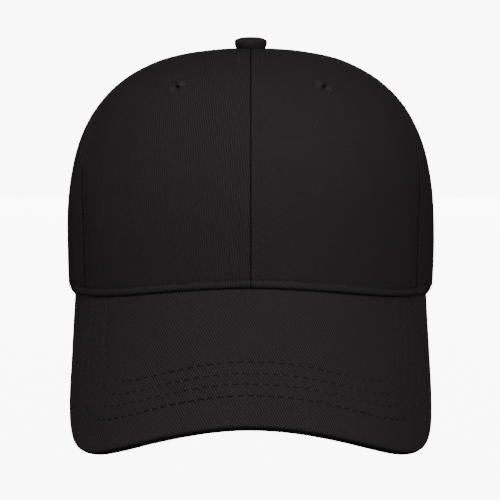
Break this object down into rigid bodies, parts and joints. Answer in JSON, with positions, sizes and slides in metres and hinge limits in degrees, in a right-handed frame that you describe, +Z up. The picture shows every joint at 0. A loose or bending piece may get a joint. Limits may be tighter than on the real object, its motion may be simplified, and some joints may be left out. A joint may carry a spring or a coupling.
{
  "type": "baseball cap",
  "caption": "Structured cloth baseball cap with a curved stitched visor, covered top button, embroidered air holes and a snap strap across the arched rear opening.",
  "frame": {"origin": "centre of the head opening, in the plane of the hem", "axes": "+Z up through the crown, the visor points to -Y, +X is the wearer's left"},
  "size_m": [0.176, 0.252, 0.1807],
  "materials": {
    "crown_twill": "black cotton twill with diagonal ribs",
    "visor_twill": "black cotton twill, stitched in rows",
    "button_twill": "black cotton twill, stretched over metal",
    "buckram": "off-white open-weave stiffener",
    "seam_tape": "black woven tape",
    "sweatband": "black cotton twill, padded",
    "label": "blank white woven label",
    "visor_board": "moulded polyethylene board",
    "button_metal": "pressed",
    "eyelet_thread": "satin-stitched black thread",
    "strap_plastic": "moulded black plastic"
  },
  "bodies": {
    "crown": {"front_panel_left": "crown_twill", "front_panel_right": "crown_twill", "side_panel_left": "crown_twill", "side_panel_right": "crown_twill", "rear_panel_left": "crown_twill", "rear_panel_right": "crown_twill", "buckram_left": "buckram", "buckram_right": "buckram", "seam_tape_front_centre": "seam_tape", "seam_tape_front_left": "seam_tape", "seam_tape_front_right": "seam_tape", "seam_tape_rear_left": "seam_tape", "seam_tape_rear_right": "seam_tape", "seam_tape_rear_centre": "seam_tape", "opening_binding": "seam_tape", "sweatband": "sweatband", "care_label": "label", "visor_top_cover": "visor_twill", "visor_board": "visor_board", "visor_under_cover": "visor_twill", "button_cover": "button_twill", "button_shell": "button_metal", "button_rivet": "button_metal", "button_base": "button_metal", "eyelet_front_left": "eyelet_thread", "eyelet_front_right": "eyelet_thread", "eyelet_side_left": "eyelet_thread", "eyelet_side_right": "eyelet_thread", "eyelet_rear_left": "eyelet_thread", "eyelet_rear_right": "eyelet_thread", "hole_strap_tab": "strap_plastic", "peg_strap_tab": "strap_plastic"},
    "hole_strap": {"hole_strap": "strap_plastic"},
    "peg_strap": {"peg_strap": "strap_plastic"}
  },
  "joints": [
    {"name": "hole_strap_swing", "type": "hinge", "parent": "crown", "child": "hole_strap", "pos_m": [-0.0415, 0.08718, 0.0105], "axis": [0, 0, 1], "range_deg": [0, 85]},
    {"name": "peg_strap_swing", "type": "hinge", "parent": "crown", "child": "peg_strap", "pos_m": [0.0415, 0.08534, 0.0105], "axis": [0, 0, 1], "range_deg": [0, 40]}
  ]
}
